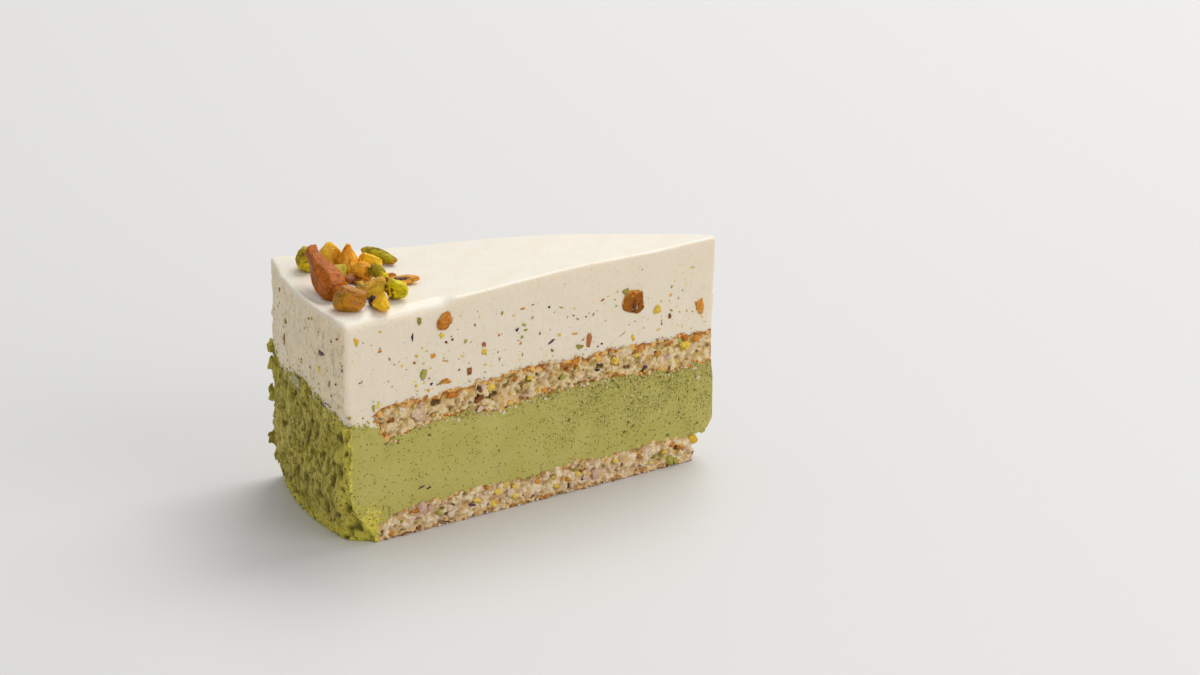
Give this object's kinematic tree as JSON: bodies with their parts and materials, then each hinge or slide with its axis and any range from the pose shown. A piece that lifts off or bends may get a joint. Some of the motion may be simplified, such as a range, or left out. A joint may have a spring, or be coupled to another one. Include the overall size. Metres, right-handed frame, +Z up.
{
  "type": "pistachio cake slice",
  "caption": "Wedge slice of layered pistachio cake: nut sponge, green pistachio mousse, nut sponge and flecked white mousse, with broken pistachios on top.",
  "frame": {"origin": "centre of the bounding box's underside, on the surface the slice stands on", "axes": "+X from the outer curved side to the tip, +Z up, and -Y towards the straight cut face that shows in the picture"},
  "size_m": [0.1155, 0.0559, 0.0695],
  "materials": {
    "nut_sponge_light": "dry crumb with nut pieces, rough, light beige-brown",
    "nut_sponge": "moist crumb with nut pieces and browned crust, rough",
    "pistachio_mousse": "set mousse, soft satin where cut, torn and pitted on the outer side",
    "white_mousse": "set cream, satin, flecked with fine nut",
    "nut_green": "pistachio flesh, satin",
    "nut_yellow": "pistachio flesh, pale yellow, satin",
    "nut_orange": "roasted pistachio, satin",
    "nut_brown": "roasted pistachio with its brown skin",
    "nut_dark": "dark purple pistachio skin"
  },
  "bodies": {
    "root": {"base_sponge": "nut_sponge_light", "middle_sponge": "nut_sponge", "pistachio_mousse": "pistachio_mousse", "white_mousse": "white_mousse", "cut_kernel": "nut_orange", "nut_back_green": "nut_green", "nut_long": "nut_brown", "nut_yellow_round": "nut_yellow", "nut_pyramid": "nut_orange", "nut_slab": "nut_yellow", "nut_chunk": "nut_orange", "nut_long_green": "nut_green", "nut_green_wedge": "nut_green", "nut_olive": "nut_green", "nut_bright_green": "nut_green", "nut_front_block": "nut_brown", "nut_yellow_chip": "nut_yellow", "nut_flake": "nut_orange", "nut_small_green": "nut_green", "nut_red_bit": "nut_brown", "nut_yellow_bit": "nut_yellow", "nut_purple_bit": "nut_dark"}
  },
  "joints": []
}
